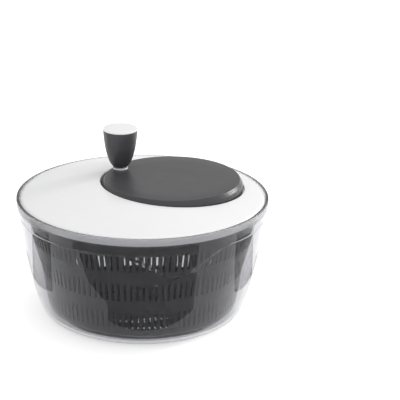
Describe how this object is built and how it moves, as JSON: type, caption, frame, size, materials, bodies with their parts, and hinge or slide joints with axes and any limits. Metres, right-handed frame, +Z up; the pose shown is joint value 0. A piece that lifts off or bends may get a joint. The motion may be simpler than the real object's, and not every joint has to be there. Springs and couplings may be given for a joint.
{
  "type": "salad spinner",
  "caption": "Salad spinner: clear bowl, slotted basket and domed lid with an off-centre crank disc that drives the basket through hidden gears.",
  "frame": {"origin": "on the bowl's axis, on the surface that the foot ring stands on", "axes": "+Z up along the bowl's axis; +X to the user's right and +Y away from the user, with the crank disc set towards +X"},
  "size_m": [0.26, 0.26, 0.1857],
  "materials": {
    "clear_plastic": "clear moulded plastic, glossy inside and out",
    "soft_silicone": "translucent grey silicone, soft matt",
    "white_acetal": "natural white acetal, satin",
    "bright_steel": "turned stainless steel, satin",
    "black_plastic": "black moulded plastic, semi-gloss",
    "white_plastic": "white moulded plastic, glossy",
    "grey_plastic": "dark grey moulded plastic, fine satin texture",
    "dark_nylon": "dark grey nylon, satin"
  },
  "bodies": {
    "bowl": {"bowl": "clear_plastic", "foot_ring": "soft_silicone"},
    "pivot": {"pivot_foot": "white_acetal", "pivot_pin": "bright_steel", "pivot_clip": "bright_steel"},
    "basket": {"basket": "black_plastic", "basket_bush": "white_acetal", "basket_hub_cap": "black_plastic"},
    "lid": {"lid": "white_plastic", "shaft_bush": "white_acetal", "axle_bush": "white_acetal"},
    "crank": {"crank_disc": "grey_plastic", "ring_gear": "white_acetal", "ring_gear_screws": "bright_steel", "crank_axle": "bright_steel", "axle_washer": "bright_steel", "axle_screw": "bright_steel", "knob_spindle": "bright_steel", "knob_collar": "white_plastic"},
    "knob": {"knob_body": "grey_plastic", "knob_cap": "white_plastic", "knob_clip": "bright_steel"},
    "drive": {"drive_shaft": "bright_steel", "pinion": "white_acetal", "pinion_clip": "bright_steel", "thrust_washer": "white_acetal", "drive_spider": "dark_nylon", "spider_washer": "bright_steel", "spider_screw": "bright_steel"}
  },
  "joints": [
    {"name": "basket_lift", "type": "slide", "parent": "bowl", "child": "pivot", "axis": [0, 0, 1], "range_m": [0, 0.13]},
    {"name": "basket_spin", "type": "hinge", "parent": "pivot", "child": "basket", "pos_m": [0, 0, 0.02], "axis": [0, 0, 1], "continuous": true},
    {"name": "lid_lift", "type": "slide", "parent": "pivot", "child": "lid", "axis": [0, 0, 1], "range_m": [0, 0.046]},
    {"name": "crank_turn", "type": "hinge", "parent": "lid", "child": "crank", "pos_m": [0.0302, 0.01473, 0.135], "axis": [0, 0, 1], "continuous": true},
    {"name": "knob_spin", "type": "hinge", "parent": "crank", "child": "knob", "pos_m": [-0.02504, 0.04288, 0.16], "axis": [0, 0, 1], "continuous": true},
    {"name": "pinion_spin", "type": "hinge", "parent": "lid", "child": "drive", "pos_m": [0, 0, 0.125], "axis": [0, 0, 1], "continuous": true}
  ],
  "couplings": [
    {"joint": "pinion_spin", "follows": "crank_turn", "ratio": 4},
    {"joint": "basket_spin", "follows": "crank_turn", "ratio": 4}
  ]
}
